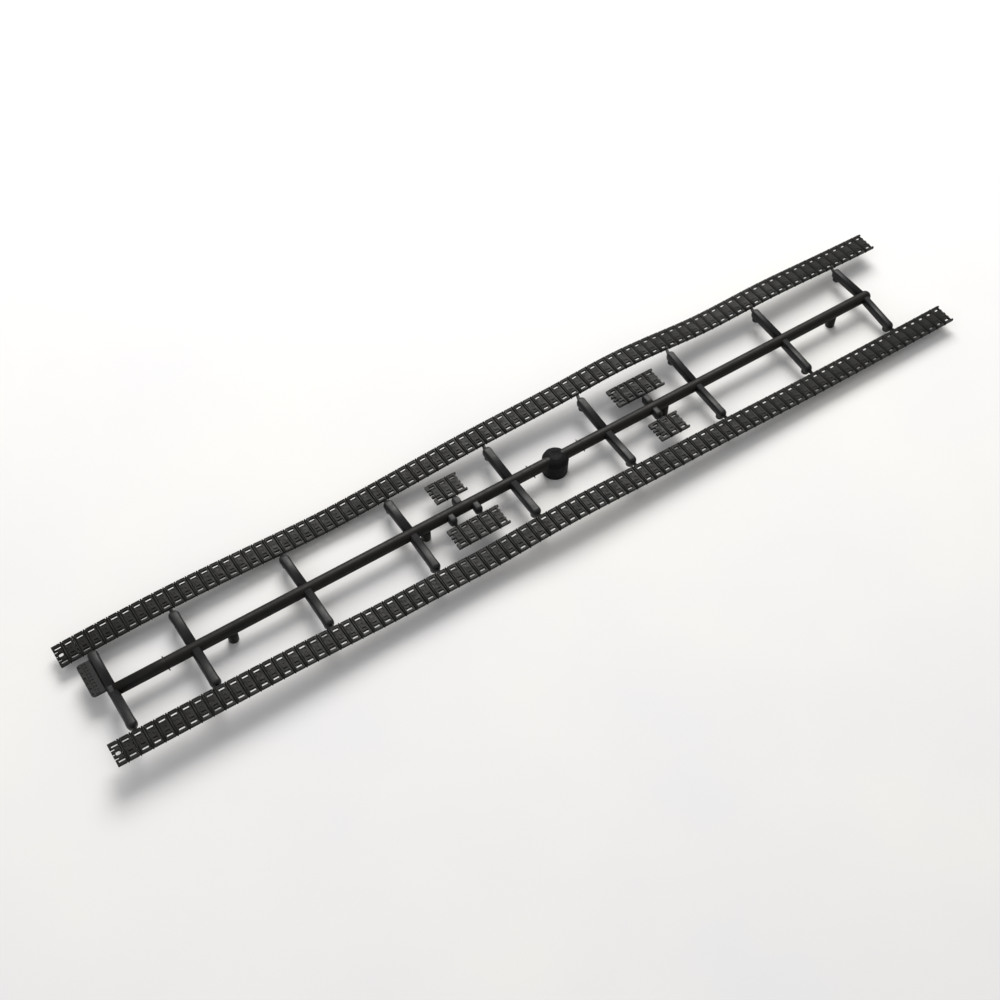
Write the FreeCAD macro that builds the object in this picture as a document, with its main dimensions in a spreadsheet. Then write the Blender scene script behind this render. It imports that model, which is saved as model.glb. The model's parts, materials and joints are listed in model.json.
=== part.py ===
import FreeCAD, Part

# Tank track frame of a 1:35 plastic kit: two long one-piece tracks and four short
# track sections, moulded together on one round runner with nine crossbars.
#
# Frame: X along the runner, Y across it (+Y is the far track), Z up.
# The origin lies on the table, under the middle of the long tracks.

import math
import os

import Sketcher
from FreeCAD import Placement, Rotation, Vector

NODE_FOLDER = "parts"

# Driving dimensions, millimetres unless the name says otherwise.
SIZES = {
    "link_pitch": 3.43,
    "link_count": 85,
    "plate_width": 7.1,
    "plate_thickness": 0.9,
    "rib_radius": 0.6,
    "horn_reach": 0.3,
    "hinge_clearance": 0.08,
    "slot_length": 1.75,
    "slot_width": 0.85,
    "slot_offset": 2.4,
    "lead_hole_radius": 0.6,
    "knuckle_depth": 0.95,
    "arm_depth": 0.5,
    "end_reach": 0.2,
    "first_link_trim": 0.7,
    "near_track_shift": 0.6,
    "track_offset": 18.9,
    "runner_radius": 1.77,
    "runner_height": 5.5,
    "dome_overrun": 1.0,
    "sprue_station": 5.2,
    "sprue_radius": 4.05,
    "sprue_shoulder_radius": 3.3,
    "sprue_shoulder_rise": 1.25,
    "sprue_rise": 1.85,
    "sprue_top_radius": 1.95,
    "sprue_foot_radius": 3.9,
    "branch_half_height": 1.45,
    "branch_reach": 14.3,
    "gate_half_width": 0.5,
    "gate_half_height": 0.35,
    "stub_radius": 1.5,
    "branch_stub_radius": 1.25,
    "branch_stub_offset": 12.3,
    "branch_stub_drop": 2.3,
    "tab_length": 11.0,
    "tab_width": 3.9,
    "tab_thickness": 0.85,
    "tab_corner": 0.9,
    "tab_inner_edge": 1.0,
    "dot_radius": 0.22,
    "dot_rise": 0.2,
    "short_branch_half_width": 1.2,
    "short_gate_length": 0.6,
}

# Links that carry a gate, counted from 1 at the knuckle end.
GATED_LINKS = [3, 10, 20, 30, 40, 50, 60, 70, 80]

# A crossbar stands this far past the middle of its gated far link, in link pitches.
GATE_SHIFTS = [0.16] + [0.12] * 8

# Half width of each crossbar: the flow to the far ends needs less plastic.
BRANCH_HALF_WIDTHS = [1.45, 1.5, 1.45, 1.45, 1.45, 1.4, 1.2, 1.1, 1.05]

# The limp crossbars bend a little: height of each nose above the runner's axis.
NOSE_LIFTS = {
    "far": [-0.3, -1.0, -1.5, -0.9, 0.4, 1.0, 1.1, 0.5, -0.2],
    "near": [2.1, 0.6, -0.1, -0.6, 0.1, 0.0, -0.7, -1.3, -2.2],
}

# The limp tracks bow between their gates. Link line -> height above the runner's axis.
FAR_BOW = {0: -2.0, 9: -0.7, 19: -1.6, 24: -2.2, 29: -1.4, 39: 1.0, 49: 2.2,
           54: 3.2, 59: 2.4, 64: 0.9, 71: 1.3, 79: 0.5, 85: -0.1}
NEAR_BOW = {0: 2.7, 9: 2.3, 19: 1.2, 24: 0.3, 29: 0.2, 33: -0.1, 39: 0.9,
            43: 1.1, 49: 0.4, 59: -0.4, 65: -1.1, 76: -1.6, 85: -1.7}

# Short sections: side (+1 far, -1 near), middle, distance from the runner, links, gates.
SHORT_SECTIONS = {
    "far_section_left": (1, -27.9, 8.4, 3, [-27.9]),
    "near_section_left": (-1, -27.3, 8.4, 5, [-32.4, -24.0]),
    "far_section_right": (1, 41.6, 9.2, 5, [41.6]),
    "near_section_right": (-1, 41.2, 8.5, 3, [41.1]),
}

# Ejector stubs under the runner.
RUNNER_STUBS = [-102.4, -40.2, 45.9, 113.8]

# Fractions of a track's half width: the knuckle fingers, and the end arms with their bosses.
KNUCKLE_FINGERS = [(0.1, 0.3), (0.5, 1.0)]
ARM_START = 0.85
BOSS_MIDDLES = [-0.45, 0, 0.45]
BOSS_HALF_WIDTH = 0.3
BOSS_SHARE = 0.4

# Rows and columns of dots on the label plate; a column is a fraction of the plate's width.
DOT_ROWS = 7
DOT_COLUMNS = [0.3, 0.6, 0.85]

SIDES = {"far": 1, "near": -1}


def make_sheet(document):
    """Put every driving dimension in the spreadsheet, one alias each."""
    sheet = document.addObject("Spreadsheet::Sheet", "Sizes")
    for row, (name, value) in enumerate(SIZES.items(), start=1):
        sheet.set(f"A{row}", name)
        sheet.set(f"B{row}", str(value))
        sheet.setAlias(f"B{row}", name)
    document.recompute()
    return sheet


def natural_spline(knots):
    """Return the natural cubic spline through the knots, as a function of the link line."""
    places = sorted(knots)
    heights = [knots[place] for place in places]
    gaps = [right - left for left, right in zip(places, places[1:])]
    slopes = [(high - low) / gap for low, high, gap in zip(heights, heights[1:], gaps)]
    count = len(places)
    diagonal = [1.0] * count
    side = [0.0] * count
    bends = [0.0] * count
    for index in range(1, count - 1):
        diagonal[index] = 2 * (gaps[index - 1] + gaps[index]) - gaps[index - 1] * side[index - 1]
        side[index] = gaps[index] / diagonal[index]
        load = 6 * (slopes[index] - slopes[index - 1])
        bends[index] = (load - gaps[index - 1] * bends[index - 1]) / diagonal[index]
    for index in range(count - 2, 0, -1):
        bends[index] -= side[index] * bends[index + 1]

    def height(line):
        index = max(i for i in range(count - 1) if places[i] <= line or i == 0)
        gap = gaps[index]
        after = line - places[index]
        before = places[index + 1] - line
        curve = (bends[index] * before ** 3 + bends[index + 1] * after ** 3) / (6 * gap)
        low = (heights[index] / gap - bends[index] * gap / 6) * before
        high = (heights[index + 1] / gap - bends[index + 1] * gap / 6) * after
        return curve + low + high

    return height


def origin_plane(body, role):
    """Return one of the body's own origin planes or axes."""
    return next(item for item in body.Origin.OriginFeatures if item.Role == role)


def new_body(document, label, placement=None):
    """Start a sub-part: an empty body with its own label and place."""
    body = document.addObject("PartDesign::Body", label)
    body.Label = label
    body.Placement = placement or Placement()
    return body


def new_sketch(body, name, role, offset=0.0):
    """Add a sketch on one of the body's origin planes, moved along its normal."""
    sketch = body.newObject("Sketcher::SketchObject", name)
    sketch.AttachmentSupport = [(origin_plane(body, role), "")]
    sketch.MapMode = "FlatFace"
    sketch.AttachmentOffset = Placement(Vector(0, 0, offset), Rotation())
    return sketch


def add_polygon(sketch, corners):
    """Close a chain of straight lines through the corners, and pin them together."""
    first = sketch.GeometryCount
    count = len(corners)
    for start, end in zip(corners, corners[1:] + corners[:1]):
        sketch.addGeometry(Part.LineSegment(Vector(*start, 0), Vector(*end, 0)), False)
    for index in range(count):
        after = (index + 1) % count
        sketch.addConstraint(Sketcher.Constraint("Coincident", first + index, 2, first + after, 1))


def add_rectangle(sketch, left, right, low, high):
    """Add an upright rectangle to the sketch."""
    add_polygon(sketch, [(left, low), (right, low), (right, high), (left, high)])


def add_circle(sketch, x, y, radius, alias):
    """Add a circle whose radius follows the sheet."""
    circle = Part.Circle(Vector(x, y, 0), Vector(0, 0, 1), radius)
    index = sketch.addGeometry(circle, False)
    constraint = sketch.addConstraint(Sketcher.Constraint("Radius", index, radius))
    sketch.setExpression(f"Constraints[{constraint}]", f"Sizes.{alias}")


def add_pad(body, name, sketch, length, midplane=False):
    """Pad a sketch; the length is an expression on the sheet."""
    pad = body.newObject("PartDesign::Pad", name)
    pad.Profile = sketch
    pad.Midplane = midplane
    pad.setExpression("Length", length)
    sketch.Visibility = False
    return pad


def add_cut(body, name, sketch, length):
    """Pocket a sketch equally to both sides of its plane."""
    pocket = body.newObject("PartDesign::Pocket", name)
    pocket.Profile = sketch
    pocket.Midplane = True
    pocket.setExpression("Length", length)
    sketch.Visibility = False
    return pocket


def cut_runner_away(body, sheet, length, height=0.0):
    """Take the runner's round section out of a body, so that the two meet face to face."""
    sketch = new_sketch(body, "runner_section", "YZ_Plane")
    add_circle(sketch, 0, height, sheet.runner_radius, "runner_radius")
    add_cut(body, "runner_seat", sketch, length)


def line_x(sheet, line):
    """X of a far link line; line 0 is the knuckle end. The two tracks together are centred."""
    centring = (sheet.first_link_trim + sheet.near_track_shift) / 2
    return (line - sheet.link_count / 2) * sheet.link_pitch - centring


def band_profile(sheet, places, start, end):
    """Side view of a chain of plates through the link lines.

    places is a list of (x, z). start and end say what each end does: "rib" ends on the
    line itself, "seat" is hollowed round the neighbour's rib, "pivot" is hollowed with
    running clearance as well, and "knuckles" and "arms" stop short of the line.
    """
    half = sheet.plate_thickness / 2
    hollows = {"seat": sheet.rib_radius, "pivot": sheet.rib_radius + sheet.hinge_clearance}
    setbacks = {"knuckles": sheet.knuckle_depth, "arms": sheet.arm_depth}
    upper = [Vector(x, z + half, 0) for x, z in places]
    lower = [Vector(x, z - half, 0) for x, z in places]
    ends = []
    for index, kind, inward in ((0, start, 1), (-1, end, -1)):
        x, z = places[index]
        if kind not in hollows:
            x += inward * setbacks.get(kind, 0.0)
            upper[index].x = x
            lower[index].x = x
            ends.append(Part.LineSegment(upper[index], lower[index]))
            continue
        radius = hollows[kind]
        step = inward * math.sqrt(radius ** 2 - half ** 2)
        upper[index] = Vector(x + step, z + half, 0)
        lower[index] = Vector(x + step, z - half, 0)
        middle = Vector(x + inward * radius, z, 0)
        ends.append(Part.Arc(upper[index], middle, lower[index]))
    outline = [Part.LineSegment(a, b) for a, b in zip(upper, upper[1:])]
    outline.append(ends[1])
    outline += [Part.LineSegment(b, a) for a, b in zip(lower, lower[1:])]
    outline.append(ends[0])
    return outline


def add_slots(sheet, body, middles, lead_hole):
    """Cut the two sprocket slots of every link, and the first link's round hole."""
    sketch = new_sketch(body, "slots", "XY_Plane")
    for x in middles:
        for side in (1, -1):
            y = side * sheet.slot_offset
            half_length = sheet.slot_length / 2
            half_width = sheet.slot_width / 2
            add_rectangle(sketch, x - half_length, x + half_length, y - half_width, y + half_width)
    if lead_hole:
        add_circle(sketch, middles[0], 0, sheet.lead_hole_radius, "lead_hole_radius")
    add_cut(body, "slot_cut", sketch, "4 * Sizes.runner_height")


def add_knuckles(sheet, body, place):
    """Four fingers at the start of a track, with notches between them."""
    x, z = place
    sketch = new_sketch(body, "knuckles", "XY_Plane", z - sheet.plate_thickness / 2)
    half = sheet.plate_width / 2
    for low, high in KNUCKLE_FINGERS:
        for side in (1, -1):
            edges = sorted((side * low * half, side * high * half))
            add_rectangle(sketch, x - sheet.end_reach, x + sheet.knuckle_depth, *edges)
    add_pad(body, "knuckle_pad", sketch, "Sizes.plate_thickness")


def add_arms(sheet, body, place):
    """Two side arms and three short bosses at the end of a track."""
    x, z = place
    sketch = new_sketch(body, "arms", "XY_Plane", z - sheet.plate_thickness / 2)
    half = sheet.plate_width / 2
    root = x - sheet.arm_depth
    for middle in BOSS_MIDDLES:
        y = middle * half
        tip = root + BOSS_SHARE * sheet.arm_depth
        add_rectangle(sketch, root, tip, y - BOSS_HALF_WIDTH, y + BOSS_HALF_WIDTH)
    for side in (1, -1):
        edges = sorted((side * ARM_START * half, side * half))
        add_rectangle(sketch, root, x + sheet.end_reach, *edges)
    add_pad(body, "arm_pad", sketch, "Sizes.plate_thickness")


def track_chain(document, sheet, label, middle_y, places, start, end, lead_hole=False):
    """A run of links as one body: plates, cross ribs with horns, slots and end fittings."""
    body = new_body(document, label, Placement(Vector(0, middle_y, 0), Rotation()))
    plates = new_sketch(body, "plates", "XZ_Plane")
    plates.addGeometry(band_profile(sheet, places, start, end), False)
    add_pad(body, "plate_pad", plates, "Sizes.plate_width", midplane=True)
    if start == "knuckles":
        add_knuckles(sheet, body, places[0])
    if end == "arms":
        add_arms(sheet, body, places[-1])
    middles = [(a[0] + b[0]) / 2 for a, b in zip(places, places[1:])]
    add_slots(sheet, body, middles, lead_hole)
    first = 0 if start == "rib" else 1
    final = len(places) if end == "rib" else len(places) - 1
    if final > first:
        ribs = new_sketch(body, "ribs", "XZ_Plane")
        for x, z in places[first:final]:
            add_circle(ribs, x, z, sheet.rib_radius, "rib_radius")
        add_pad(body, "rib_pad", ribs, "Sizes.plate_width + 2 * Sizes.horn_reach", midplane=True)
    return body


def long_track(document, sheet, side_name, heights):
    """One long track: eight rigid spans between gates, and free links at both ends."""
    middle_y = SIDES[side_name] * sheet.track_offset
    shift = sheet.near_track_shift if side_name == "near" else 0.0

    def places(first_line, last_line):
        lines = range(first_line, last_line + 1)
        points = [(line_x(sheet, line) + shift, sheet.runner_height + heights(line)) for line in lines]
        if first_line == 0:
            points[0] = (points[0][0] + sheet.first_link_trim, points[0][1])
        return points

    chains = []
    starts = GATED_LINKS[:-1]
    stops = [link - 1 for link in GATED_LINKS[1:-1]] + [GATED_LINKS[-1]]
    for first, final in zip(starts, stops):
        label = f"{side_name}_track_links_{first:02d}_{final:02d}"
        start = "rib" if first == starts[0] else "seat"
        chains.append((label, first - 1, final, start, "rib"))
    for link in range(1, GATED_LINKS[0]):
        start = "knuckles" if link == 1 else "rib"
        chains.append((f"{side_name}_left_end_link_{link:02d}", link - 1, link, start, "pivot"))
    last = int(sheet.link_count)
    for link in range(GATED_LINKS[-1] + 1, last + 1):
        end = "arms" if link == last else "rib"
        chains.append((f"{side_name}_right_end_link_{link:02d}", link - 1, link, "pivot", end))
    return [
        track_chain(document, sheet, label, middle_y, places(first, final), start, end,
                    lead_hole=start == "knuckles")
        for label, first, final, start, end in chains
    ]


def short_section(document, sheet, label):
    """A short flat track section with the same ends as a long one."""
    side, middle_x, distance, links, _ = SHORT_SECTIONS[label]
    left = middle_x - links * sheet.link_pitch / 2
    places = [(left + n * sheet.link_pitch, sheet.runner_height) for n in range(links + 1)]
    return track_chain(document, sheet, label, side * distance, places, "knuckles", "arms")


def branch_section(half_width, half_height, lift):
    """Cross-section of a branch: flat top and bottom, sloping shoulders, upright sides."""
    outline = [(-0.42, 1.0), (0.42, 1.0), (1.0, 0.3), (1.0, -0.3),
               (0.75, -1.0), (-0.75, -1.0), (-1.0, -0.3), (-1.0, 0.3)]
    return [(x * half_width, lift + z * half_height) for x, z in outline]


def add_arm(sheet, body, side, half_width, reach, edge, nose_lift, gate_lift, stub):
    """One arm from the runner's axis to a track: bar, rounded nose, thin gate and stub.

    nose_lift and gate_lift are the heights of the nose and of the track above the axis.
    """
    height = sheet.branch_half_height
    nose = reach - half_width
    stations = [(0.0, half_width, height), (nose, half_width, height),
                (nose + 0.62 * half_width, 0.8 * half_width, 0.82 * height),
                (reach, 0.42 * half_width, 0.4 * height),
                (edge, sheet.gate_half_width, sheet.gate_half_height)]
    sketches = []
    for index, (distance, wide, high) in enumerate(stations):
        # XZ_Plane looks along -Y, so a section further out in Y has a negative offset.
        sketch = new_sketch(body, f"section_{index}", "XZ_Plane", -side * distance)
        lift = gate_lift if distance == edge else nose_lift * distance / reach
        add_polygon(sketch, branch_section(wide, high, lift))
        sketch.Visibility = False
        sketches.append(sketch)
    loft = body.newObject("PartDesign::AdditiveLoft", "arm")
    loft.Profile = sketches[0]
    loft.Sections = sketches[1:]
    loft.Ruled = True
    if stub:
        stub_lift = nose_lift * sheet.branch_stub_offset / reach
        foot = new_sketch(body, "stub_section", "XY_Plane", stub_lift - sheet.branch_stub_drop)
        middle_y = side * sheet.branch_stub_offset
        add_circle(foot, 0, middle_y, sheet.branch_stub_radius, "branch_stub_radius")
        add_pad(body, "stub", foot, "Sizes.branch_stub_drop")


def track_branch(document, sheet, side_name, number, x, half_width, lifts):
    """One half of a crossbar, seated on the runner."""
    label = f"{side_name}_branch_{number}"
    body = new_body(document, label, Placement(Vector(x, 0, sheet.runner_height), Rotation()))
    edge = sheet.track_offset - sheet.plate_width / 2
    add_arm(sheet, body, SIDES[side_name], half_width, sheet.branch_reach, edge, *lifts, True)
    cut_runner_away(body, sheet, f"{4 * half_width:.3f}")
    return body


def end_crossbar(document, sheet, x, half_width, side_lifts):
    """The first crossbar runs through in one piece, because the runner butts into it."""
    place = Placement(Vector(x, 0, sheet.runner_height), Rotation())
    body = new_body(document, "end_crossbar", place)
    edge = sheet.track_offset - sheet.plate_width / 2
    for side_name, side in SIDES.items():
        lifts = side_lifts[side_name]
        add_arm(sheet, body, side, half_width, sheet.branch_reach, edge, *lifts, True)
    return body


def section_gates(document, sheet, label):
    """The short arms that hold one short section, each in its own node."""
    side, middle_x, distance, links, gates = SHORT_SECTIONS[label]
    pitch = sheet.link_pitch
    arms = []
    for number, gate_x in enumerate(gates, start=1):
        name = f"{label}_gate" if len(gates) == 1 else f"{label}_gate_{number}"
        body = new_body(document, name, Placement(Vector(gate_x, 0, sheet.runner_height), Rotation()))
        half_width = sheet.short_branch_half_width
        edge = distance - sheet.plate_width / 2
        from_line = (gate_x - middle_x + links * pitch / 2 + pitch / 2) % pitch - pitch / 2
        if abs(from_line) < sheet.rib_radius + sheet.gate_half_width:
            # this gate meets the point of a horn
            edge -= sheet.horn_reach
        reach = edge - sheet.short_gate_length
        add_arm(sheet, body, side, half_width, reach, edge, 0.0, 0.0, False)
        cut_runner_away(body, sheet, f"{4 * half_width:.3f}")
        arms.append(body)
    return arms


def main_runner(document, sheet, start, end):
    """The round runner, with a dome on its far end."""
    body = new_body(document, "main_runner", Placement(Vector(0, 0, sheet.runner_height), Rotation()))
    sketch = new_sketch(body, "half_section", "XZ_Plane")
    radius = sheet.runner_radius
    dome_middle = Vector(end + radius * math.sqrt(0.5), radius * math.sqrt(0.5), 0)
    outline = [
        Part.LineSegment(Vector(start, 0, 0), Vector(start, radius, 0)),
        Part.LineSegment(Vector(start, radius, 0), Vector(end, radius, 0)),
        Part.Arc(Vector(end, radius, 0), dome_middle, Vector(end + radius, 0, 0)),
        Part.LineSegment(Vector(end + radius, 0, 0), Vector(start, 0, 0)),
    ]
    sketch.addGeometry(outline, False)
    turn = body.newObject("PartDesign::Revolution", "turned")
    turn.Profile = sketch
    turn.ReferenceAxis = (origin_plane(body, "X_Axis"), [""])
    turn.Angle = 360
    sketch.Visibility = False
    return body


def sprue_puck(document, sheet):
    """The round sprue base: widest at the parting plane, with a full shoulder and a flat top."""
    place = Placement(Vector(sheet.sprue_station, 0, sheet.runner_height), Rotation())
    body = new_body(document, "sprue_puck", place)
    sketch = new_sketch(body, "half_section", "XZ_Plane")
    outline = [(0, -sheet.runner_height), (sheet.sprue_foot_radius, -sheet.runner_height),
               (sheet.sprue_radius, 0), (sheet.sprue_shoulder_radius, sheet.sprue_shoulder_rise),
               (sheet.sprue_top_radius, sheet.sprue_rise), (0, sheet.sprue_rise)]
    add_polygon(sketch, outline)
    turn = body.newObject("PartDesign::Revolution", "turned")
    turn.Profile = sketch
    turn.ReferenceAxis = (origin_plane(body, "Z_Axis"), [""])
    turn.Angle = 360
    sketch.Visibility = False
    cut_runner_away(body, sheet, "4 * Sizes.sprue_radius")
    return body


def runner_stubs(document, sheet):
    """Four ejector stubs from the table up to the runner's underside, as one group."""
    body = new_body(document, "runner_stubs")
    body.AllowCompound = True
    sketch = new_sketch(body, "feet", "XY_Plane")
    for x in RUNNER_STUBS:
        add_circle(sketch, x, 0, sheet.stub_radius, "stub_radius")
    add_pad(body, "stubs", sketch, "Sizes.runner_height")
    cut_runner_away(body, sheet, "Sizes.link_count * Sizes.link_pitch", sheet.runner_height)
    return body


def part_tab(document, sheet, crossbar_face):
    """The label plate beside the end crossbar, with plain dots in place of its lettering."""
    place = Placement(Vector(crossbar_face, sheet.tab_inner_edge, sheet.runner_height), Rotation())
    body = new_body(document, "part_tab", place)
    half = sheet.tab_thickness / 2
    corner = sheet.tab_corner
    outer = -sheet.tab_width
    far = sheet.tab_length
    plate = new_sketch(body, "plate", "XY_Plane", -half)
    bend = corner * (1 - math.sqrt(0.5))
    outline = [
        Part.LineSegment(Vector(0, 0, 0), Vector(outer + corner, 0, 0)),
        Part.Arc(Vector(outer + corner, 0, 0), Vector(outer + bend, bend, 0), Vector(outer, corner, 0)),
        Part.LineSegment(Vector(outer, corner, 0), Vector(outer, far - corner, 0)),
        Part.Arc(Vector(outer, far - corner, 0), Vector(outer + bend, far - bend, 0),
                 Vector(outer + corner, far, 0)),
        Part.LineSegment(Vector(outer + corner, far, 0), Vector(0, far, 0)),
        Part.LineSegment(Vector(0, far, 0), Vector(0, 0, 0)),
    ]
    plate.addGeometry(outline, False)
    add_pad(body, "plate_pad", plate, "Sizes.tab_thickness")
    dots = new_sketch(body, "dots", "XY_Plane", half)
    for row in range(DOT_ROWS):
        for column in DOT_COLUMNS:
            y = (row + 0.5) * far / DOT_ROWS
            add_circle(dots, column * outer, y, sheet.dot_radius, "dot_radius")
    add_pad(body, "dot_pad", dots, "Sizes.dot_rise")
    return body


def check_state(document):
    """Stop if any object failed to compute."""
    for item in document.Objects:
        if {"Invalid", "Error"} & set(item.State):
            raise RuntimeError(f"{item.Label} is {item.State}")


def write_parts(bodies):
    """Write every sub-part to its own file, after checking its shape."""
    os.makedirs(NODE_FOLDER, exist_ok=True)
    for body in bodies:
        shape = body.Shape
        if shape.isNull() or not shape.isValid():
            raise RuntimeError(f"{body.Label} has no valid shape")
        shape.exportStep(os.path.join(NODE_FOLDER, f"{body.Label}.step"))
        print(f"{body.Label}: {len(shape.Solids)} solid, {shape.Volume:.1f} mm3")


def build():
    """Build the whole frame and write it."""
    document = FreeCAD.newDocument("track_frame")
    sheet = make_sheet(document)
    bows = {"far": natural_spline(FAR_BOW), "near": natural_spline(NEAR_BOW)}
    gates = [line_x(sheet, link - 0.5 + shift) for link, shift in zip(GATED_LINKS, GATE_SHIFTS)]

    def side_lifts(index):
        """Heights of a crossbar's nose and of its gated link, for each side."""
        line = GATED_LINKS[index] - 0.5
        return {name: (NOSE_LIFTS[name][index], bow(line)) for name, bow in bows.items()}

    first_x, first_half = gates[0], BRANCH_HALF_WIDTHS[0]
    bodies = [
        main_runner(document, sheet, first_x + 0.3 * first_half, gates[-1] + sheet.dome_overrun),
        sprue_puck(document, sheet),
        end_crossbar(document, sheet, first_x, first_half, side_lifts(0)),
        part_tab(document, sheet, first_x - first_half),
        runner_stubs(document, sheet),
    ]
    for index in range(1, len(gates)):
        x, half_width = gates[index], BRANCH_HALF_WIDTHS[index]
        for side_name, lifts in side_lifts(index).items():
            bodies.append(track_branch(document, sheet, side_name, index + 1, x, half_width, lifts))
    for side_name, bow in bows.items():
        bodies += long_track(document, sheet, side_name, bow)
    for label in SHORT_SECTIONS:
        bodies.append(short_section(document, sheet, label))
        bodies += section_gates(document, sheet, label)
    document.recompute()
    check_state(document)
    write_parts(bodies)


build()
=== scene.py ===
import json
import math
import random

import bmesh
import bpy
from mathutils import Matrix, Vector

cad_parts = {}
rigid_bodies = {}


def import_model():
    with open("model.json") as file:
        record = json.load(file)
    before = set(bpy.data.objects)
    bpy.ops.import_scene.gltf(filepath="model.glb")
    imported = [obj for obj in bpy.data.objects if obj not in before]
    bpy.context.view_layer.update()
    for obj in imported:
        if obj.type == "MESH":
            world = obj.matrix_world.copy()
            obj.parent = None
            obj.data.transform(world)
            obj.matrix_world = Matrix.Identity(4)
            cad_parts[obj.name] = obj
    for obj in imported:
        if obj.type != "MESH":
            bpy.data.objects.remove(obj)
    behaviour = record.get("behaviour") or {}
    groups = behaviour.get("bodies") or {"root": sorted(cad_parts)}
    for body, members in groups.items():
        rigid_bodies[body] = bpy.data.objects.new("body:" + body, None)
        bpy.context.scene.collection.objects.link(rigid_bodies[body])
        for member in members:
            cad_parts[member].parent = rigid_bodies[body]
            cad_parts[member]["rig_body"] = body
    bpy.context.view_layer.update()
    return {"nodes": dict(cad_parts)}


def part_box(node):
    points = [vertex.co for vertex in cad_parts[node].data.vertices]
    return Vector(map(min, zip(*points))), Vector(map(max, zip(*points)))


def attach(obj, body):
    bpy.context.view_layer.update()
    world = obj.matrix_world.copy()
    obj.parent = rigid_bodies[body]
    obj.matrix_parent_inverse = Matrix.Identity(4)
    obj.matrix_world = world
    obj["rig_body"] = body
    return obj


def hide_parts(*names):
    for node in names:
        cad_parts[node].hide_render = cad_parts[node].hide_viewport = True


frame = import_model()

# The whole object is one injection moulding of dark plastic. Metres, in the CAD's own frame.
SHARED = random.Random(35)

MM = 0.001

# Track links. A long track has this many; its first link is shorter by the trim.
LINKS = 85
PITCH = 3.43 * MM
END_REACH = 0.2 * MM
FINGER_REACH = 0.14 * MM
FIRST_LINK_TRIM = 0.7 * MM
HALF_WIDTH = 3.55 * MM
HORN_REACH = 0.28 * MM
HORN_ROOT = 0.12 * MM
RIB_HALF_WIDTH = 0.25 * MM
RIB_HALF_HEIGHT = 0.58 * MM
GROOVE_HALF_WIDTH = 0.46 * MM
PIVOT_CLEARANCE = 0.31 * MM
PIN_RADIUS = 0.297 * MM
LINK_BEVEL = 0.05 * MM
PLATE_TOP = 0.45 * MM
WEB_DEPTH = 0.3 * MM
GROOVE_FLOOR = 0.1 * MM
HOLLOW_FLOOR = 0.3 * MM
RELIEF = 0.11 * MM
SLOT_HALF_LENGTH = 0.875 * MM
SLOT_INNER = 1.975 * MM
SLOT_OUTER = 2.825 * MM
LEAD_HOLE = 0.7 * MM
KNUCKLE_DEPTH = 0.95 * MM
ARM_DEPTH = 0.5 * MM
BOSS_LENGTH = 0.2 * MM

# Where the details of a plate begin and end across it, from its middle.
CORE = 0.35 * MM
BAR_INNER = 0.55 * MM
HOLE_HALF_WIDTH = 0.7 * MM
PAD_OUTER = 1.05 * MM
BOSS_INNER = 1.35 * MM
SHOULDER = 1.78 * MM
BAR_OUTER = 1.9 * MM
ARM_INNER = 3.05 * MM
RAIL_INNER = 3.3 * MM

# The same along it.
NOTCH_HALF_LENGTH = 0.3 * MM
PAD_HALF_LENGTH = 0.62 * MM
BAR_START = -0.98 * MM
BAR_END = -0.76 * MM
GATED = [3, 10, 20, 30, 40, 50, 60, 70, 80]
SECTIONS = {
    "far_section_left": 3,
    "near_section_left": 5,
    "far_section_right": 5,
    "near_section_right": 3,
}


# ---------------------------------------------------------------- materials

def new_material(name):
    """Return an empty node material and its Principled shader."""
    material = bpy.data.materials.new(name)
    material.use_nodes = True
    return material, material.node_tree, material.node_tree.nodes["Principled BSDF"]


def noise(tree, coordinates, scale, detail=3.0, roughness=0.55):
    """A noise texture in object space."""
    node = tree.nodes.new("ShaderNodeTexNoise")
    node.inputs["Scale"].default_value = scale
    node.inputs["Detail"].default_value = detail
    node.inputs["Roughness"].default_value = roughness
    tree.links.new(coordinates, node.inputs["Vector"])
    return node


def ramp(tree, value, stops):
    """A colour ramp; stops are (place, colour)."""
    node = tree.nodes.new("ShaderNodeValToRGB")
    node.color_ramp.elements[0].position, node.color_ramp.elements[0].color = stops[0]
    node.color_ramp.elements[1].position, node.color_ramp.elements[1].color = stops[-1]
    for place, colour in stops[1:-1]:
        element = node.color_ramp.elements.new(place)
        element.color = colour
    tree.links.new(value, node.inputs["Fac"])
    return node


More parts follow.
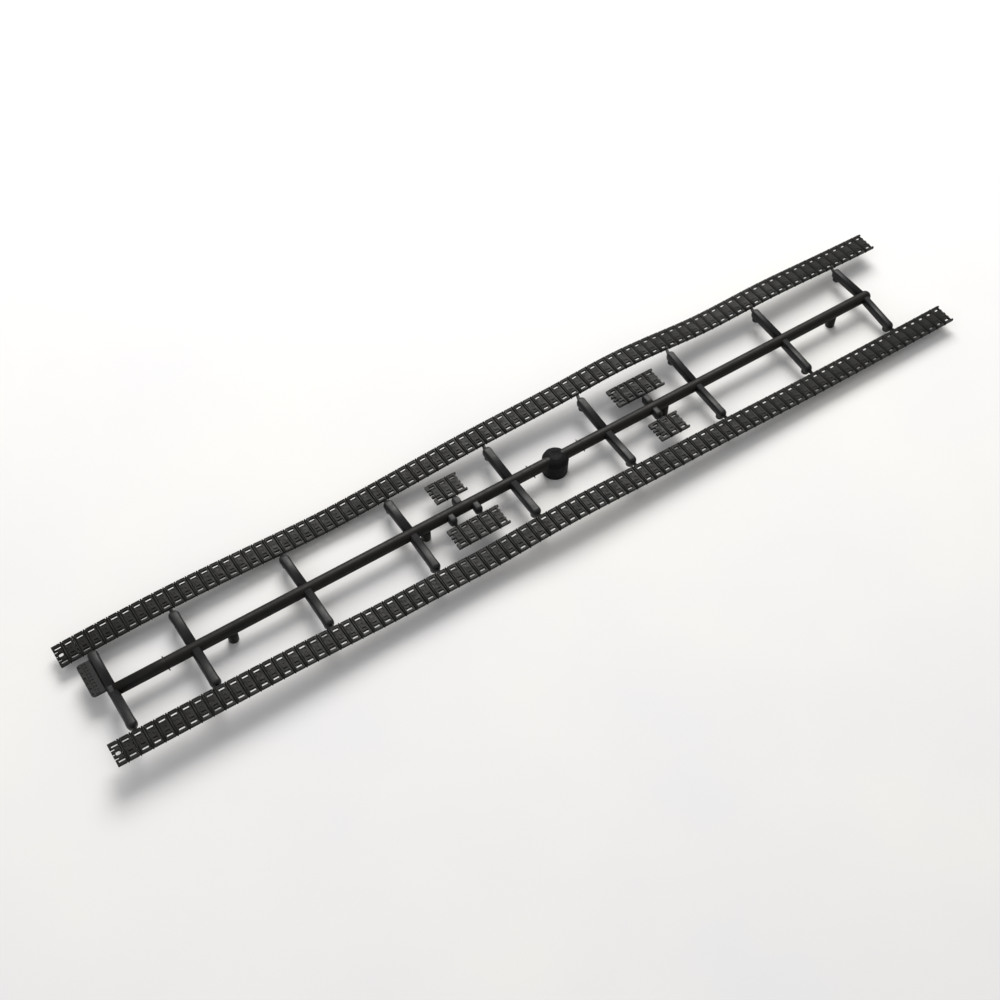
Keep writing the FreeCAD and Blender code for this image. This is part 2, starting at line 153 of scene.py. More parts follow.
def moulded_plastic(name, dark, light, shine, grain, grain_depth, specular):
    """Dark moulded plastic: flow marks, a fine sparked grain and slightly uneven gloss.

    dark and light are the ends of the colour, shine the lowest and highest roughness,
    grain the scale of the fine grain, and specular the shader's reflection level.
    """
    material, tree, shader = new_material(name)
    place = tree.nodes.new("ShaderNodeTexCoord").outputs["Object"]
    flow = noise(tree, place, 220.0, 4.0, 0.6)
    tint = ramp(tree, flow.outputs["Fac"], [(0.3, (*dark, 1.0)), (0.72, (*light, 1.0))])
    tree.links.new(tint.outputs["Color"], shader.inputs["Base Color"])
    gloss = noise(tree, place, 640.0, 3.0)
    spread = tree.nodes.new("ShaderNodeMapRange")
    spread.inputs["From Min"].default_value = 0.3
    spread.inputs["From Max"].default_value = 0.7
    spread.inputs["To Min"].default_value = shine[0]
    spread.inputs["To Max"].default_value = shine[1]
    tree.links.new(gloss.outputs["Fac"], spread.inputs["Value"])
    tree.links.new(spread.outputs["Result"], shader.inputs["Roughness"])
    fine = noise(tree, place, grain, 2.0)
    bump = tree.nodes.new("ShaderNodeBump")
    bump.inputs["Strength"].default_value = 0.35
    bump.inputs["Distance"].default_value = grain_depth
    tree.links.new(fine.outputs["Fac"], bump.inputs["Height"])
    waves = noise(tree, place, 330.0, 2.0)
    swell = tree.nodes.new("ShaderNodeBump")
    swell.inputs["Strength"].default_value = 0.5
    swell.inputs["Distance"].default_value = 3 * grain_depth
    tree.links.new(waves.outputs["Fac"], swell.inputs["Height"])
    tree.links.new(bump.outputs["Normal"], swell.inputs["Normal"])
    tree.links.new(swell.outputs["Normal"], shader.inputs["Normal"])
    shader.inputs["Specular IOR Level"].default_value = specular
    return material


# Each plastic's dark and light colours, roughness range, grain scale and depth, and reflection.
PLASTICS = {
    "track_plastic": ((0.0025, 0.0024, 0.0021), (0.0095, 0.0090, 0.0080),
                      (0.36, 0.60), 5200.0, 0.05 * MM, 0.20),
    "runner_plastic": ((0.0030, 0.0026, 0.0020), (0.0080, 0.0070, 0.0054),
                       (0.44, 0.58), 4200.0, 0.02 * MM, 0.24),
    # The sprue copy of the plastic is tinted blue as painted sky reflection on its flat top, not as the
    # plastic's own colour.
    "sprue_plastic_painted_sky_tint": ((0.0024, 0.0025, 0.0028), (0.0065, 0.0067, 0.0074),
                      (0.62, 0.78), 4200.0, 0.03 * MM, 0.14),
    # The branch copy of the plastic is tinted blue as painted sky reflection on the flat tops, not as the
    # plastic's own colour.
    "branch_plastic": ((0.0030, 0.0031, 0.0035), (0.0080, 0.0083, 0.0094),
                       (0.40, 0.54), 4600.0, 0.02 * MM, 0.36),
    "label_plastic": ((0.0025, 0.0025, 0.0026), (0.0080, 0.0080, 0.0084),
                      (0.30, 0.50), 4600.0, 0.03 * MM, 0.28),
}


def paper_material():
    """Matt off-white paper with faint blotches."""
    material, tree, shader = new_material("paper")
    place = tree.nodes.new("ShaderNodeTexCoord").outputs["Object"]
    blotch = noise(tree, place, 14.0, 3.0)
    tint = ramp(tree, blotch.outputs["Fac"],
                [(0.3, (0.80, 0.80, 0.82, 1.0)), (0.7, (0.84, 0.835, 0.82, 1.0))])
    tree.links.new(tint.outputs["Color"], shader.inputs["Base Color"])
    shader.inputs["Roughness"].default_value = 0.85
    return material


# ---------------------------------------------------------------- mesh helpers

class Shape:
    """Collects vertices and faces of one piece, in metres."""

    def __init__(self):
        self.vertices = []
        self.faces = []
        self.smooth = []

    def add(self, vertices, faces, smooth=False, place=None):
        """Add a closed shell, moved by the matrix place."""
        first = len(self.vertices)
        moved = [place @ Vector(v) for v in vertices] if place else [Vector(v) for v in vertices]
        self.vertices += moved
        self.faces += [tuple(first + i for i in face) for face in faces]
        self.smooth += [smooth] * len(faces)

    def piece(self, name, material, body, replaced, bevel=0.0):
        """Make the Blender object, give it its material, and let it stand for its CAD nodes."""
        mesh = bpy.data.meshes.new(name)
        mesh.from_pydata([tuple(v) for v in self.vertices], [], self.faces)
        mesh.polygons.foreach_set("use_smooth", self.smooth)
        mesh.update()
        mesh.materials.append(material)
        made = bpy.data.objects.new(name, mesh)
        bpy.context.scene.collection.objects.link(made)
        if bevel:
            edge = made.modifiers.new("edge", "BEVEL")
            edge.width = bevel
            edge.segments = 2
            edge.limit_method = "ANGLE"
            edge.angle_limit = math.radians(40)
            edge.harden_normals = False
        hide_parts(*replaced)
        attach(made, body)
        return made


def cells(xs, ys, zs, solid):
    """A closed shell from a grid of boxes: solid(x, y, z) says which boxes are filled."""
    filled = set()
    for i in range(len(xs) - 1):
        for j in range(len(ys) - 1):
            for k in range(len(zs) - 1):
                middle = ((xs[i] + xs[i + 1]) / 2, (ys[j] + ys[j + 1]) / 2, (zs[k] + zs[k + 1]) / 2)
                if solid(*middle):
                    filled.add((i, j, k))
    sides = {
        (1, 0, 0): ((1, 0, 0), (1, 1, 0), (1, 1, 1), (1, 0, 1)),
        (-1, 0, 0): ((0, 0, 0), (0, 0, 1), (0, 1, 1), (0, 1, 0)),
        (0, 1, 0): ((0, 1, 0), (0, 1, 1), (1, 1, 1), (1, 1, 0)),
        (0, -1, 0): ((0, 0, 0), (1, 0, 0), (1, 0, 1), (0, 0, 1)),
        (0, 0, 1): ((0, 0, 1), (1, 0, 1), (1, 1, 1), (0, 1, 1)),
        (0, 0, -1): ((0, 0, 0), (0, 1, 0), (1, 1, 0), (1, 0, 0)),
    }
    index = {}
    vertices = []
    faces = []
    for i, j, k in sorted(filled):
        for (di, dj, dk), corners in sides.items():
            if (i + di, j + dj, k + dk) in filled:
                continue
            face = []
            for a, b, c in corners:
                key = (i + a, j + b, k + c)
                if key not in index:
                    index[key] = len(vertices)
                    vertices.append((xs[key[0]], ys[key[1]], zs[key[2]]))
                face.append(index[key])
            faces.append(tuple(face))
    return vertices, faces


def turned(profile, steps):
    """Turn a profile of (along, radius) about its axis, X; closed where the radius is 0."""
    vertices = []
    rings = []
    for along, radius in profile:
        if radius == 0:
            rings.append([len(vertices)])
            vertices.append((along, 0, 0))
            continue
        ring = []
        for step in range(steps):
            angle = 2 * math.pi * step / steps
            ring.append(len(vertices))
            vertices.append((along, radius * math.cos(angle), radius * math.sin(angle)))
        rings.append(ring)
    return vertices, ring_faces(rings)


def ring_faces(rings):
    """Join rings of vertices, in order; a ring of one vertex is a point."""
    faces = []
    for near, far in zip(rings, rings[1:]):
        count = max(len(near), len(far))
        for step in range(count):
            after = (step + 1) % count
            if len(near) == 1:
                faces.append((near[0], far[after], far[step]))
            elif len(far) == 1:
                faces.append((near[step], near[after], far[0]))
            else:
                faces.append((near[step], near[after], far[after], far[step]))
    if len(rings[0]) > 1:
        faces.append(tuple(reversed(rings[0])))
    if len(rings[-1]) > 1:
        faces.append(tuple(rings[-1]))
    return faces


def swept(sections):
    """Join closed sections, lists of points in order, with a cap at each end."""
    vertices = [point for section in sections for point in section]
    size = len(sections[0])
    rings = [list(range(n * size, (n + 1) * size)) for n in range(len(sections))]
    return vertices, ring_faces(rings)


def mirrored(values):
    """A sorted list of the values and their negatives."""
    return sorted({round(sign * value, 9) for value in values for sign in (1, -1)})


# ---------------------------------------------------------------- track links

def rib_template():
    """The cross rib on a link line: a narrow upright ridge with a small horn at each end."""
    reach = HALF_WIDTH + HORN_REACH
    shoulder = HALF_WIDTH + HORN_ROOT
    stations = [(-reach, 0.62, 0.42), (-shoulder, 0.95, 0.85), (-HALF_WIDTH, 1.0, 1.0),
                (HALF_WIDTH, 1.0, 1.0), (shoulder, 0.95, 0.85), (reach, 0.62, 0.42)]
    steps = 16
    sections = []
    for y, wide, high in stations:
        ring = []
        for step in range(steps):
            angle = 2 * math.pi * (step + 0.5) / steps
            square = 0.55 if math.sin(angle) > 0 else 1.0
            across = math.copysign(abs(math.cos(angle)) ** square, math.cos(angle))
            up = math.copysign(abs(math.sin(angle)) ** square, math.sin(angle))
            ring.append((wide * RIB_HALF_WIDTH * across, y, high * RIB_HALF_HEIGHT * up))
        sections.append(list(reversed(ring)))
    return swept(sections)


def link_template(left, right, lead_hole, trim=0.0):
    """One link's plate, centred on its middle, with its slots, pads and bars.

    left and right say how each end meets its link line: "web" runs on under the rib,
    "pivot" stops clear of the next body's rib, "knuckles" and "arms" are the loose ends.
    """
    half = PITCH / 2
    start = -half + (trim if left == "knuckles" else 0.0)
    low_x = {"web": start, "pivot": start + PIVOT_CLEARANCE, "knuckles": start - FINGER_REACH}[left]
    high_x = {"web": half, "pivot": half - PIVOT_CLEARANCE, "arms": half + FINGER_REACH}[right]
    groove = half - GROOVE_HALF_WIDTH
    root = start + KNUCKLE_DEPTH if left == "knuckles" else low_x
    tip = half - ARM_DEPTH if right == "arms" else high_x
    shift = trim / 2 if left == "knuckles" else 0.0
    slot_x = (shift - SLOT_HALF_LENGTH, shift + SLOT_HALF_LENGTH)
    boss_x = tip + (BOSS_LENGTH if right == "arms" else 0.0)
    hole_x = (shift - LEAD_HOLE, shift + LEAD_HOLE)
    xs = sorted({round(x, 8) for x in (low_x, high_x, -groove, groove, root, tip, boss_x, *slot_x, *hole_x,
                                       -PAD_HALF_LENGTH, PAD_HALF_LENGTH, BAR_START, BAR_END,
                                       -NOTCH_HALF_LENGTH, NOTCH_HALF_LENGTH)})
    xs = [x for x in xs if low_x - 1e-7 <= x <= high_x + 1e-7]
    ys = mirrored([CORE, BAR_INNER, HOLE_HALF_WIDTH, PAD_OUTER, BOSS_INNER, SHOULDER, BAR_OUTER,
                   SLOT_INNER, SLOT_OUTER, ARM_INNER, RAIL_INNER, HALF_WIDTH])
    zs = [-PLATE_TOP, -WEB_DEPTH, GROOVE_FLOOR, HOLLOW_FLOOR, PLATE_TOP, PLATE_TOP + RELIEF]

    def solid(x, y, z):
        wide = abs(y)
        if SLOT_INNER < wide < SLOT_OUTER and slot_x[0] < x < slot_x[1]:
            return False
        if lead_hole and wide < HOLE_HALF_WIDTH and hole_x[0] < x < hole_x[1]:
            return False
        if x < root and left == "knuckles":
            return (CORE < wide < PAD_OUTER or wide > SHOULDER) and abs(z) < PLATE_TOP
        if x > tip and right == "arms":
            boss = x < boss_x and (wide < CORE or BOSS_INNER < wide < BAR_OUTER)
            return (wide > ARM_INNER or boss) and abs(z) < PLATE_TOP
        if abs(x) > groove:
            return -WEB_DEPTH < z < GROOVE_FLOOR
        if z > PLATE_TOP:
            rail = wide > RAIL_INNER
            notch = wide < CORE and abs(x) < NOTCH_HALF_LENGTH
            pad = wide < PAD_OUTER and abs(x) < PAD_HALF_LENGTH and not notch
            bar = BAR_START < x < BAR_END and BAR_INNER < wide < BAR_OUTER
            return not lead_hole and (rail or pad or bar)
        if z > HOLLOW_FLOOR:
            hollow = PAD_OUTER < wide < SHOULDER and abs(x) < PAD_HALF_LENGTH
            return not hollow or lead_hole
        return True

    return cells(xs, ys, zs, solid)


def round_hole_ring(shape, place):
    """A round rim that fills the corners of the first link's hole."""
    outer = LEAD_HOLE + 0.28 * MM
    mouth = LEAD_HOLE + 0.1 * MM
    lip = 0.4 * MM
    steps = 24
    rings = []
    for radius, height in ((outer, 0.0), (outer, lip), (mouth, lip), (LEAD_HOLE, 0.2 * MM),
                           (LEAD_HOLE, -0.25 * MM), (mouth, -lip), (outer, -lip)):
        rings.append([(radius * math.cos(2 * math.pi * n / steps),
                       radius * math.sin(2 * math.pi * n / steps), height) for n in range(steps)])
    vertices = [point for ring in rings for point in ring]
    faces = []
    for level in range(len(rings)):
        after = (level + 1) % len(rings)
        for n in range(steps):
            m = (n + 1) % steps
            faces.append((level * steps + n, after * steps + n, after * steps + m, level * steps + m))
    shape.add(vertices, faces, True, place)


# How far from a link line its CAD vertices lie; less at the last line, beside the arms.
LINE_REACH = 0.66 * MM
END_LINE_REACH = 0.55 * MM


def line_heights(names, lines, middle_y):
    """Height of each link line, read from the CAD nodes: the middle of what stands there."""
    points = []
    for name in names:
        points += [v.co for v in frame["nodes"][name].data.vertices]
    heights = []
    for line, x in enumerate(lines):
        reach = END_LINE_REACH if line == len(lines) - 1 else LINE_REACH
        column = [p.z for p in points
                  if abs(p.x - x) < reach and abs(p.y - middle_y) < HALF_WIDTH + HORN_REACH]
        heights.append((min(column) + max(column)) / 2)
    return heights


def pin_template():
    """The round core of a rib, about which the next link turns."""
    steps = 24
    angles = [2 * math.pi * step / steps for step in range(steps)]
    return swept([[(PIN_RADIUS * math.cos(angle), y, -PIN_RADIUS * math.sin(angle)) for angle in angles]
                  for y in (-HALF_WIDTH, HALF_WIDTH)])


RIB = rib_template()
PIN = pin_template()
TEMPLATES = {}


def add_links(shape, lines_x, middle_y, heights, first, last, start, end, trim=0.0):
    """Add links first to last, and the ribs that belong to them, to a piece."""
    for link in range(first, last + 1):
        left = start if link == first and start != "rib" else "web"
        right = end if link == last and end != "rib" else "web"
        hole = trim > 0 and link == 1
        key = (left, right, hole, trim if left == "knuckles" else 0.0)
        if key not in TEMPLATES:
            TEMPLATES[key] = link_template(*key)
        low, high = heights[link - 1], heights[link]
        slope = -math.atan2(high - low, lines_x[link] - lines_x[link - 1])
        back = Matrix.Rotation(slope, 4, "Y") @ Vector((-PITCH / 2, 0, 0))
        middle = Vector((lines_x[link], middle_y, high)) + back
        place = Matrix.Translation(middle) @ Matrix.Rotation(slope, 4, "Y")
        shape.add(*TEMPLATES[key], place=place)
        if hole:
            round_hole_ring(shape, place @ Matrix.Translation((trim / 2, 0, 0)))
    lines = list(range(first, last))
    if start == "rib":
        lines.insert(0, first - 1)
    if end == "rib":
        lines.append(last)
    for line in lines:
        place = Matrix.Translation((lines_x[line], middle_y, heights[line]))
        shape.add(*RIB, smooth=True, place=place)
        shape.add(*PIN, smooth=True, place=place)


def long_track(side, material):
    """One long track: the pieces follow the CAD's spans and free links."""
    names = [n for n in frame["nodes"] if n.startswith(side) and ("_links_" in n or "_end_link_" in n)]
    low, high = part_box(f"{side}_track_links_20_29")
    middle_y = (low[1] + high[1]) / 2
    right_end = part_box(f"{side}_right_end_link_{LINKS}")[1][0] - END_REACH
    lines_x = [right_end - (LINKS - line) * PITCH for line in range(LINKS + 1)]
    lines_x[0] += FIRST_LINK_TRIM
    heights = line_heights(names, lines_x, middle_y)
    for name in sorted(names):
        words = name.split("_")
        shape = Shape()
        if "_links_" in name:
            first, last = int(words[-2]), int(words[-1])
            add_links(shape, lines_x, middle_y, heights, first, last,
                      "rib" if first == GATED[0] else "web", "rib")
        else:
            link = int(words[-1])
            left_side = link < GATED[0]
            start = "knuckles" if link == 1 else ("rib" if left_side else "pivot")
            end = "arms" if link == LINKS else ("pivot" if left_side else "rib")
            add_links(shape, lines_x, middle_y, heights, link, link, start, end, FIRST_LINK_TRIM)
        body = frame["nodes"][name]["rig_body"]
        shape.piece(f"{name}_detail", material, body, [name], LINK_BEVEL)


def short_section(name, links, material):
    """A short track section."""
    low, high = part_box(name)
    middle_y = (low[1] + high[1]) / 2
    lines_x = [low[0] + END_REACH + line * PITCH for line in range(links + 1)]
    heights = [(low[2] + high[2]) / 2] * (links + 1)
    shape = Shape()
    add_links(shape, lines_x, middle_y, heights, 1, links, "knuckles", "arms")
    body = frame["nodes"][name]["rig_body"]
    shape.piece(f"{name}_detail", material, body, [name], LINK_BEVEL)


# ---------------------------------------------------------------- runner, sprue and branches

AXIS_Z = sum(corner[2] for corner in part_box("main_runner")) / 2
RUNNER_RADIUS = (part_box("main_runner")[1][2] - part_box("main_runner")[0][2]) / 2


def runner_profile(start, end, rings):
    """Profile of the runner with a dome at its end and faint tool-insert lines."""
    profile = [(start, 0), (start, RUNNER_RADIUS)]
    ridge = 0.05 * MM
    for x in rings:
        for reach, depth in ((-0.3, 0), (-0.12, 0), (-0.04, ridge), (0.04, ridge), (0.12, 0), (0.3, 0)):
            profile.append((x + reach * MM, RUNNER_RADIUS - depth))
    steps = 10
    for step in range(steps + 1):
        angle = math.pi / 2 * step / steps
        radius = RUNNER_RADIUS * math.cos(angle)
        profile.append((end + RUNNER_RADIUS * math.sin(angle), radius if step < steps else 0))
    return profile


NIB_ROOT = 0.15 * MM
NIB_HALF_HEIGHT = 0.12 * MM


def burr(shape, x, side, height, width):
    """A torn nib of flash on the runner's parting line."""
    root = side * (RUNNER_RADIUS - NIB_ROOT)
    tip = side * (RUNNER_RADIUS + height)
    half = width / 2
    lean = SHARED.uniform(-0.3, 0.3) * width
    sections = []
    for y, size in ((root, 1.0), ((root + tip) / 2, 0.75), (tip, 0.3)):
        drift = lean * (y - root) / (tip - root)
        sections.append([(x + drift - half * size, y, -NIB_HALF_HEIGHT * size),
                         (x + drift + half * size, y, -NIB_HALF_HEIGHT * size),
                         (x + drift + half * size, y, NIB_HALF_HEIGHT * size),
                         (x + drift - half * size, y, NIB_HALF_HEIGHT * size)])
    if side > 0:
        sections = [list(reversed(section)) for section in sections]
    vertices, faces = swept(sections)
    shape.add(vertices, faces, False, Matrix.Translation((0, 0, AXIS_Z)))


def main_runner(material):
    """The round runner, its parting line and the flash nibs at the tool inserts."""
    low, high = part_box("main_runner")
    start, dome = low[0], high[0] - RUNNER_RADIUS
    sprue = [(a + b) / 2 for a, b in zip(*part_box("sprue_puck"))]
    inserts = [-121.95 * MM, sprue[0] - 8.95 * MM, sprue[0] + 9.15 * MM]
    shape = Shape()
    vertices, faces = turned(runner_profile(start, dome, inserts), 48)
    shape.add(vertices, faces, True, Matrix.Translation((0, 0, AXIS_Z)))
    for side in (1, -1):
        edge = side * RUNNER_RADIUS
        seam = [[(x, edge - side * 0.1 * MM, -0.07 * MM), (x, edge + side * 0.06 * MM, 0),
                 (x, edge - side * 0.1 * MM, 0.07 * MM)] for x in (start + 1.2 * MM, dome)]
        if side < 0:
            seam = [list(reversed(section)) for section in seam]
        shape.add(*swept(seam), False, Matrix.Translation((0, 0, AXIS_Z)))
    for x in inserts:
        for side in (1, -1):
            burr(shape, x, side, SHARED.uniform(0.6, 1.0) * MM, SHARED.uniform(0.45, 0.65) * MM)
    shape.piece("main_runner_detail", material, "frame", ["main_runner"])


def sprue_puck(material):
    """The sprue base: widest at the parting plane, with a soft rim and a sunk top."""
    low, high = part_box("sprue_puck")
    middle = [(a + b) / 2 for a, b in zip(low, high)]
    rim = (high[1] - low[1]) / 2
    foot = 0.963 * rim
    top = 0.48 * rim
    soft = 0.25 * MM
    rise = high[2] - AXIS_Z
    profile = [(low[2], 0), (low[2], foot - soft), (low[2] + 0.3 * soft, foot - 0.3 * soft),
               (low[2] + soft, foot), (AXIS_Z - soft, rim - 0.2 * soft), (AXIS_Z, rim),
               (AXIS_Z + 0.6 * soft, rim - 0.5 * soft), (AXIS_Z + 0.4 * rise, 0.93 * rim),
               (AXIS_Z + 0.68 * rise, 0.81 * rim), (AXIS_Z + 0.88 * rise, 0.64 * rim),
               (high[2] - 0.3 * soft, top + 0.5 * soft), (high[2], top), (high[2], top - soft),
               (high[2] - 0.08 * MM, top - 2 * soft), (high[2] - 0.08 * MM, 0)]
    vertices, faces = turned([(along - middle[2], radius) for along, radius in profile], 56)
    upright = Matrix.Translation(middle) @ Matrix.Rotation(math.radians(-90), 4, "Y")
    shape = Shape()
    shape.add(vertices, faces, True, upright)
    shape.piece("sprue_puck_detail", material, "frame", ["sprue_puck"])


def stub_column(shape, x, y, foot, radius, top):
    """An ejector stub with a soft foot; its top is inside what it stands under."""
    soft = 0.15 * MM
    length = top - foot
    profile = [(0, 0), (0, radius - soft), (0.3 * soft, radius - 0.3 * soft), (soft, radius),
               (length, radius), (length, 0)]
    vertices, faces = turned(profile, 32)
    upright = Matrix.Translation((x, y, foot)) @ Matrix.Rotation(math.radians(-90), 4, "Y")
    shape.add(vertices, faces, True, upright)


def runner_stubs(material):
    """The four ejector stubs under the runner."""
    points = [v.co for v in frame["nodes"]["runner_stubs"].data.vertices]
    shape = Shape()
    feet = sorted(p.x for p in points if p.z < 0.1 * MM)
    groups = []
    for x in feet:
        if not groups or x - groups[-1][-1] > 10 * MM:
            groups.append([])
        groups[-1].append(x)
    for group in groups:
        radius = (group[-1] - group[0]) / 2
        stub_column(shape, (group[0] + group[-1]) / 2, 0, 0, radius, AXIS_Z - 0.4 * RUNNER_RADIUS)
    shape.piece("runner_stubs_detail", material, "frame", ["runner_stubs"])


def branch_outline(half_width, half_height, middle_z):
    """Rounded section of a branch: a broad low crown, soft shoulders and drafted sides."""
    outline = [(-0.56, 1.0), (0.56, 1.0), (0.62, 0.98), (0.80, 0.80), (0.94, 0.48), (1.0, 0.12),
               (0.98, -0.3), (0.86, -0.78), (0.66, -1.0), (-0.66, -1.0), (-0.86, -0.78), (-0.98, -0.3),
               (-1.0, 0.12), (-0.94, 0.48), (-0.80, 0.80), (-0.62, 0.98)]
    return [(x * half_width, middle_z + z * half_height) for x, z in outline]


def branch_arm(shape, x, side, half_width, nose, edge, nose_z, gate_z):
    """One arm from inside the runner to its track: bar, domed nose and thin gate."""
    start = 0.55 * RUNNER_RADIUS
    bulb = 1.08
    shaft = max(nose - 2.2 * half_width, start + 0.1 * MM)
    stations = [(start, 1.0, 1.0), (shaft, 1.0, 1.0), (nose - half_width, bulb, 1.0)]
    least_x = GATE_SIZE[0] / half_width
    least_z = GATE_SIZE[1] / BRANCH_HALF_HEIGHT
    steps = 7
    for step in range(1, steps + 1):
        turn = math.pi / 2 * step / steps
        size = max(math.cos(turn), 0.0)
        along = nose - half_width + half_width * math.sin(turn)
        wide = max(bulb * size, 1.15 * least_x)
        high = max(0.15 + 0.85 * size, 1.15 * least_z)
        stations.append((along, wide, high))
    stations.append((edge, least_x, least_z))
    sections = []
    for distance, wide, high in stations:
        centre = gate_z if distance == edge else AXIS_Z + (nose_z - AXIS_Z) * distance / nose
        outline = branch_outline(wide * half_width, high * BRANCH_HALF_HEIGHT, centre)
        section = [(x + dx, side * distance, z) for dx, z in outline]
        sections.append(section if side < 0 else list(reversed(section)))
    shape.add(*swept(sections), smooth=True)


def arm_ends(name, side, gate_length):
    """Where a branch's CAD solid meets its track, and the heights of its nose and gate."""
    points = [v.co for v in frame["nodes"][name].data.vertices]
    edge = max(side * p.y for p in points)
    heights = []
    for distance in (edge - gate_length, edge):
        ring = [p.z for p in points if abs(side * p.y - distance) < 0.01 * MM]
        heights.append((min(ring) + max(ring)) / 2)
    return edge, *heights


BRANCH_HALF_HEIGHT = 1.45 * MM
GATE_LENGTH = 1.05 * MM
SHORT_GATE_LENGTH = 0.6 * MM
GATE_SIZE = (0.5 * MM, 0.35 * MM)
STUB_OFFSET = 12.3 * MM
STUB_REACH = 1.3 * MM


def branch_stub(shape, name, x, side, nose, nose_z):
    """The ejector stub under a branch; its place and radius come from the CAD solid."""
    points = [v.co for v in frame["nodes"][name].data.vertices
              if abs(side * v.co.y - STUB_OFFSET) < STUB_REACH]
    foot = min(p.z for p in points)
    ys = [p.y for p in points if p.z < foot + 0.01 * MM]
    radius = (max(ys) - min(ys)) / 2
    y = (max(ys) + min(ys)) / 2
    stub_column(shape, x, y, foot, radius, AXIS_Z + (nose_z - AXIS_Z) * abs(y) / nose)


def track_branch(name, material):
    """Half a crossbar, or the whole end crossbar."""
    low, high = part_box(name)
    x = (low[0] + high[0]) / 2
    half_width = (high[0] - low[0]) / 2
    shape = Shape()
    sides = (1, -1) if name == "end_crossbar" else ((1,) if name.startswith("far") else (-1,))
    for side in sides:
        edge, nose_z, gate_z = arm_ends(name, side, GATE_LENGTH)
        nose = edge - GATE_LENGTH
        branch_arm(shape, x, side, half_width, nose, edge, nose_z, gate_z)
        branch_stub(shape, name, x, side, nose, nose_z)
    if name == "end_crossbar":
        centre = [[(x + dx, y, z) for dx, z in branch_outline(half_width, BRANCH_HALF_HEIGHT, AXIS_Z)]
                  for y in (-0.6 * RUNNER_RADIUS, 0.6 * RUNNER_RADIUS)]
        shape.add(*swept([list(reversed(section)) for section in reversed(centre)]))
    shape.piece(f"{name}_detail", material, "frame", [name])


def section_gate(name, material):
    """The short arm that holds a short section."""
    low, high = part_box(name)
    side = 1 if name.startswith("far") else -1
    x = (low[0] + high[0]) / 2
    half_width = (high[0] - low[0]) / 2
    edge, nose_z, gate_z = arm_ends(name, side, SHORT_GATE_LENGTH)
    shape = Shape()
    branch_arm(shape, x, side, half_width, edge - SHORT_GATE_LENGTH, edge, nose_z, gate_z)
    shape.piece(f"{name}_detail", material, "frame", [name])


LABEL_THICKNESS = 0.85 * MM
LABEL_CORNER = 0.9 * MM
LABEL_BEVEL = 0.06 * MM


def part_tab(material):
    """The label plate, with a plain pattern of raised dots and dashes."""
    low, high = [Vector(corner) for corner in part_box("part_tab")]
    top = low.z + LABEL_THICKNESS
    corner = LABEL_CORNER
    steps = 8
    outline = [(high.x, low.y), (high.x, high.y)]
    for middle_y, turn in ((high.y - corner, 0), (low.y + corner, 1)):
        for step in range(steps + 1):
            angle = math.pi / 2 * (1 + turn + step / steps)
            outline.append((low.x + corner + corner * math.cos(angle),
                            middle_y + corner * math.sin(angle)))
    sections = [[(px, py, z) for px, py in outline] for z in (low.z, top)]
    shape = Shape()
    shape.add(*swept(sections))
    width = high.x - low.x
    length = high.y - low.y
    rows = 6
    for row in range(rows):
        y = low.y + (row + 0.5) * length / rows
        raised_mark(shape, low.x + 0.17 * width, y, 0.36 * MM, 0.34 * MM, top)
    strokes = 10
    for stroke in range(strokes):
        y = low.y + (stroke + 0.5) * length / strokes
        for column in (0.42, 0.6):
            reach = SHARED.uniform(0.2, 0.42) * MM
            raised_mark(shape, low.x + column * width, y, reach, 0.18 * MM, top)
    shape.piece("part_tab_detail", material, "frame", ["part_tab"], LABEL_BEVEL)


def raised_mark(shape, x, y, half_length, half_width, base):
    """A small raised dot or dash with sloping sides."""
    sections = []
    for rise, size in ((-0.02, 1.0), (0.12, 0.8), (0.2, 0.4)):
        z = base + rise * MM
        sections.append([(x - half_width * size, y - half_length * size, z),
                         (x + half_width * size, y - half_length * size, z),
                         (x + half_width * size, y + half_length * size, z),
                         (x - half_width * size, y + half_length * size, z)])
    shape.add(*swept(sections))


# ---------------------------------------------------------------- stage

def floor():
    """A plain pale sheet under the frame."""
    size = 3.0
    mesh = bpy.data.meshes.new("floor")
    grid = bmesh.new()
    bmesh.ops.create_grid(grid, x_segments=8, y_segments=8, size=size)
    grid.to_mesh(mesh)
    grid.free()
    mesh.materials.append(paper_material())
    sheet = bpy.data.objects.new("floor", mesh)
    bpy.context.scene.collection.objects.link(sheet)


def area_light(name, place, target, size, power, colour):
    """A square soft light that faces the target."""
    lamp = bpy.data.lights.new(name, "AREA")
    lamp.size = size
    lamp.energy = power
    lamp.color = colour
    made = bpy.data.objects.new(name, lamp)
    made.location = place
    made.rotation_euler = (Vector(target) - Vector(place)).to_track_quat("-Z", "Y").to_euler()
    bpy.context.scene.collection.objects.link(made)


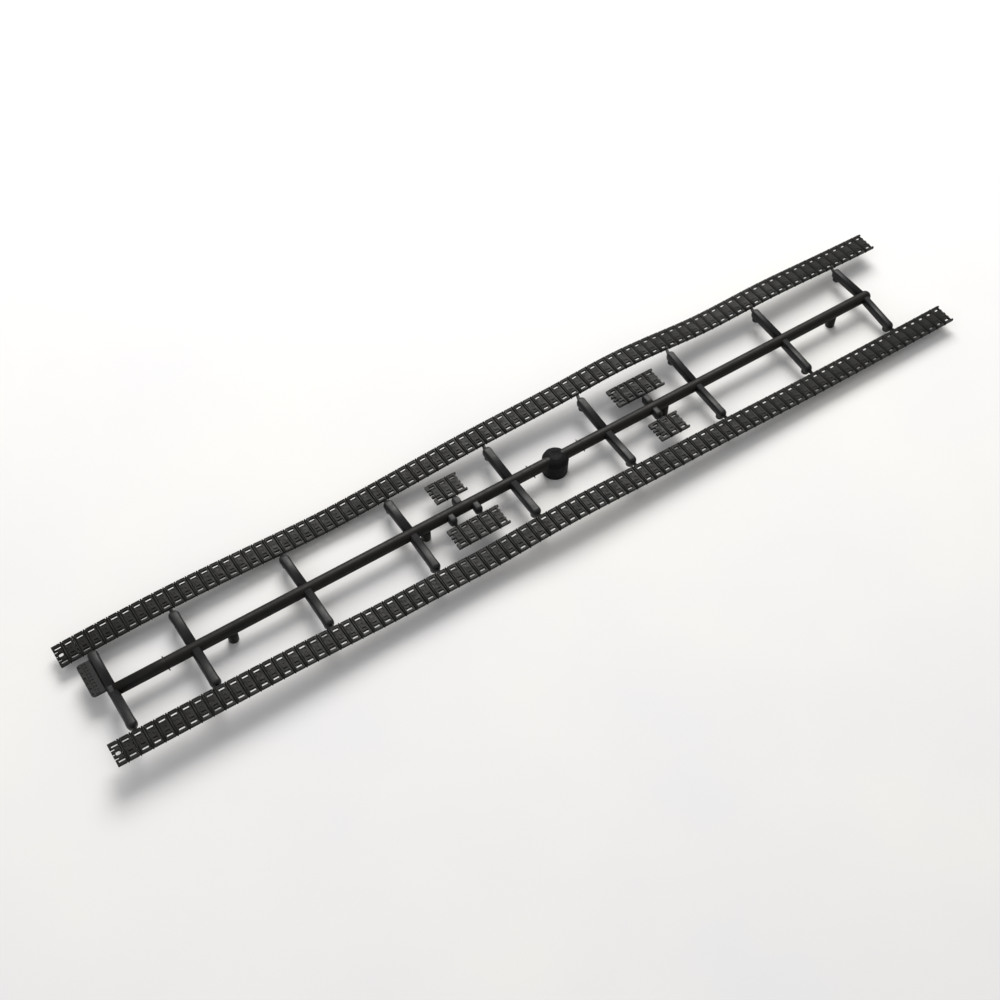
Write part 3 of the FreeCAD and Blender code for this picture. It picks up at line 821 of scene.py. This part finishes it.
def lights():
    """Soft daylight from behind and above, with a dimmer room in front."""
    area_light("window", (0.34, 0.56, 0.72), (0.02, 0.0, 0.0), 0.60, 9.9, (1.0, 0.985, 0.955))
    area_light("fill", (-0.75, -0.1, 0.75), (0.0, 0.0, 0.0), 0.9, 1.7, (0.90, 0.93, 1.0))
    world = bpy.data.worlds.new("studio")
    world.use_nodes = True
    background = world.node_tree.nodes["Background"]
    background.inputs["Color"].default_value = (1.0, 0.985, 0.96, 1.0)
    background.inputs["Strength"].default_value = 0.40
    bpy.context.scene.world = world
    bpy.context.scene.view_settings.view_transform = "Standard"


def camera():
    """A hand-held view from the near left, well above the frame."""
    azimuth = math.radians(-33.72)
    elevation = math.radians(54.0)
    centring = 0.65 * MM
    target = Vector((-4.748 * PITCH - centring, -1.074 * PITCH, 5.5 * MM))
    back = Vector((math.sin(azimuth) * math.cos(elevation), -math.cos(azimuth) * math.cos(elevation),
                   math.sin(elevation)))
    lens = bpy.data.cameras.new("camera")
    lens.lens = 51.5
    lens.sensor_width = 36.0
    lens.clip_start = 0.01
    made = bpy.data.objects.new("camera", lens)
    made.location = target + back * (121.49 * PITCH)
    level = (-back).to_track_quat("-Z", "Y").to_matrix().to_4x4()
    roll = Matrix.Rotation(math.radians(0.52), 4, "Z")
    made.rotation_euler = (level @ roll).to_euler()
    bpy.context.scene.collection.objects.link(made)
    bpy.context.scene.camera = made


camera()
floor()
lights()

PLASTIC = {name: moulded_plastic(name, *settings) for name, settings in PLASTICS.items()}
TRACK = PLASTIC["track_plastic"]
RUNNER = PLASTIC["runner_plastic"]
BRANCH = PLASTIC["branch_plastic"]

long_track("far", TRACK)
long_track("near", TRACK)
for section_name, link_count in SECTIONS.items():
    short_section(section_name, link_count, TRACK)
main_runner(RUNNER)
sprue_puck(PLASTIC["sprue_plastic_painted_sky_tint"])
runner_stubs(RUNNER)
for node_name in sorted(frame["nodes"]):
    if "_branch_" in node_name or node_name == "end_crossbar":
        track_branch(node_name, BRANCH)
    elif "_gate" in node_name:
        section_gate(node_name, BRANCH)
part_tab(PLASTIC["label_plastic"])
